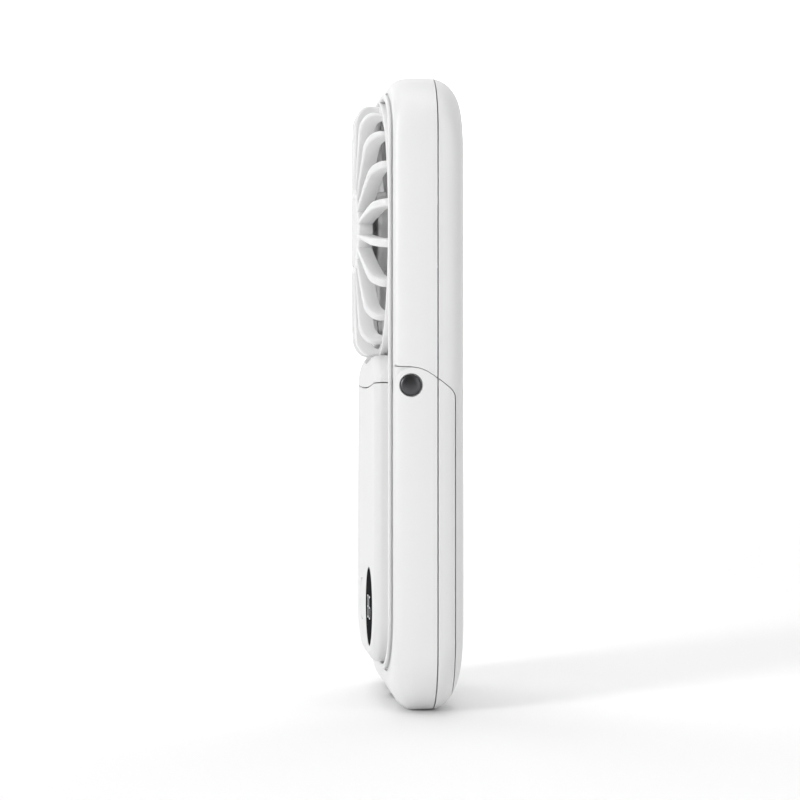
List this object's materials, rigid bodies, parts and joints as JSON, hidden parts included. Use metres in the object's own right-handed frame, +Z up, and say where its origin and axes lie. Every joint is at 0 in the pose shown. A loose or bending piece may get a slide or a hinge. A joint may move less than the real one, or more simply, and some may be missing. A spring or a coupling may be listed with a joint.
{
  "type": "usb handheld fan",
  "caption": "Slim rechargeable hand fan shaped like a phone, with a round front grille, a raised panel with display and button, and a U-shaped frame that swings forward.",
  "frame": {"origin": "middle of the bottom of the whole object's box", "axes": "+Z up along the body, -Y to the front with the grille, X across the width"},
  "size_m": [0.075, 0.0244, 0.156],
  "materials": {
    "shell": "satin white",
    "skin": "gloss white",
    "inner": "matte white",
    "window": "gloss black",
    "display": "matte dark",
    "dark_steel": "blackened",
    "steel": "bright",
    "washer": "matte",
    "board": "solder mask",
    "copper": "wound wire",
    "cell": "foil sleeve",
    "wire": "insulation"
  },
  "bodies": {
    "body": {"front_shell": "shell", "rear_cover": "shell", "core_frame": "shell", "front_grille": "shell", "hub_cap": "skin", "upper_panel": "skin", "front_panel": "skin", "display_window": "window", "display_module": "display", "button_switch": "dark_steel", "main_board": "board", "battery": "cell", "usb_port": "steel", "motor_stator": "copper", "bearing_front": "steel", "bearing_rear": "steel", "motor_bracket": "inner", "bracket_screw_1": "dark_steel", "bracket_screw_2": "dark_steel", "bracket_screw_3": "dark_steel", "bracket_screw_4": "dark_steel", "board_screw_1": "dark_steel", "board_screw_2": "dark_steel", "board_screw_3": "dark_steel", "board_screw_4": "dark_steel", "pivot_pin_left": "dark_steel", "pivot_pin_right": "dark_steel", "friction_washer_left": "washer", "friction_washer_right": "washer", "motor_lead": "wire", "battery_lead": "wire"},
    "hanger": {"hanger_front": "shell", "hanger_rear": "shell"},
    "fan": {"impeller": "inner", "motor_shaft": "steel", "rotor_cup": "steel"},
    "button": {"power_button": "skin"}
  },
  "joints": [
    {"name": "hanger_swing", "type": "hinge", "parent": "body", "child": "hanger", "pos_m": [0, -0.00095, 0.0801], "axis": [-1, 0, 0], "range_deg": [0, 90]},
    {"name": "impeller_spin", "type": "hinge", "parent": "body", "child": "fan", "pos_m": [0, 0, 0.1197], "axis": [0, -1, 0], "continuous": true},
    {"name": "button_press", "type": "slide", "parent": "body", "child": "button", "axis": [0, 1, 0], "range_m": [0, 0.0005], "stiffness_N_per_m": 600, "springref_m": -0.001}
  ]
}
